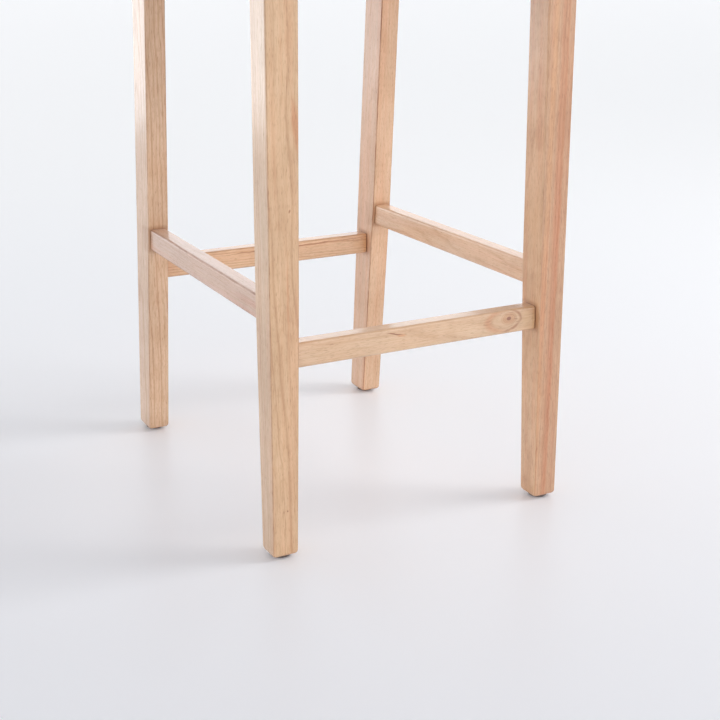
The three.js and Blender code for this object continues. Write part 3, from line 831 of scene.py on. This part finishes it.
KEY_LAMP = dict(place=(2.2, -1.0, 2.4), target=(0, 0, 0.3), size=(1.2, 1.2), watts=28,
                tint=(1.0, 0.98, 0.95))
SHEEN_LAMP = dict(place=(-1.3, 3.2, 0.38), target=(0, 0, 0.38), size=(3.0, 0.7), watts=14,
                  tint=(0.88, 0.94, 1.0))

CAMERA_PLACE = (-0.7859, -1.5744, 0.7397)
CAMERA_HEADING = 27.86  # degrees, from +Y towards +X
CAMERA_DIP = 18.48  # degrees below the horizon
CAMERA_LENS_MM, CAMERA_SENSOR_MM = 65.07, 36.0


def build_floor():
    corners = [(-FLOOR_HALF, -FLOOR_HALF, 0), (FLOOR_HALF, -FLOOR_HALF, 0),
               (FLOOR_HALF, FLOOR_HALF, 0), (-FLOOR_HALF, FLOOR_HALF, 0)]
    floor = mesh_object("floor", corners, [(0, 1, 2, 3)])
    graph = Graph("floor_paper")
    place = graph.add("ShaderNodeTexCoord").outputs["Object"]
    # painted shade, darker near that place
    away = graph.vector("LENGTH", graph.vector("SUBTRACT", place, FLOOR_SHADE_MIDDLE))
    tint = graph.mix(graph.ramp(away, *FLOOR_FADES), FLOOR_SHADED, FLOOR_FAR)
    graph.set(graph.shader, Base_Color=tint, Roughness=FLOOR_ROUGHNESS,
              Specular_IOR_Level=FLOOR_SPECULAR)
    floor.data.materials.append(graph.material)
    floor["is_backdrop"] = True


def area_light(name, place, target, size, watts, tint):
    """A rectangular lamp that the camera does not see."""
    data = bpy.data.lights.new(name, "AREA")
    data.shape = "RECTANGLE"
    data.size, data.size_y = size
    data.energy = watts
    data.color = tint
    light = bpy.data.objects.new(name, data)
    light.location = place
    light.visible_camera = False
    light.rotation_euler = (Vector(target) - Vector(place)).to_track_quat("-Z", "Y").to_euler()
    bpy.context.scene.collection.objects.link(light)
    return light


def stool_pieces():
    """A collection of every mesh but the floor."""
    pieces = bpy.data.collections.new("stool_pieces")
    for thing in bpy.context.scene.objects:
        if thing.type == "MESH" and thing.name != "floor":
            pieces.objects.link(thing)
    return pieces


def build_backdrop():
    """A world that is bright all round and dimmer overhead."""
    world = bpy.data.worlds.new("studio")
    bpy.context.scene.world = world
    world.use_nodes = True
    tree = world.node_tree
    place = tree.nodes.new("ShaderNodeTexCoord")
    split = tree.nodes.new("ShaderNodeSeparateXYZ")
    fall = tree.nodes.new("ShaderNodeMapRange")
    fall.interpolation_type = "SMOOTHSTEP"
    for socket, value in BACKDROP_FALL.items():
        fall.inputs[socket].default_value = value
    background = tree.nodes["Background"]
    background.inputs["Color"].default_value = BACKDROP_COLOUR
    tree.links.new(place.outputs["Generated"], split.inputs["Vector"])
    tree.links.new(split.outputs["Z"], fall.inputs["Value"])
    tree.links.new(fall.outputs["Result"], background.inputs["Strength"])


def build_lamps():
    """A soft lamp on the stool's right, and a low one far behind it that only puts a sheen on it."""
    area_light("key", **KEY_LAMP)
    sheen = area_light("sheen", **SHEEN_LAMP)
    sheen.visible_diffuse = False
    sheen.light_linking.receiver_collection = stool_pieces()


def build_camera():
    data = bpy.data.cameras.new("camera")
    data.lens = CAMERA_LENS_MM
    data.sensor_width = CAMERA_SENSOR_MM
    camera = bpy.data.objects.new("camera", data)
    camera.location = CAMERA_PLACE
    camera.rotation_euler = (math.radians(90 - CAMERA_DIP), 0, math.radians(-CAMERA_HEADING))
    bpy.context.scene.collection.objects.link(camera)
    bpy.context.scene.camera = camera


paint_wood()
paint_fittings()
build_seat()
build_floor()
build_backdrop()
build_lamps()
build_camera()
bpy.context.scene.view_settings.view_transform = "Standard"

corners = {"cad": cad_box, "visual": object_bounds()}
{name: [list(low), list(high)] for name, (low, high) in corners.items()}
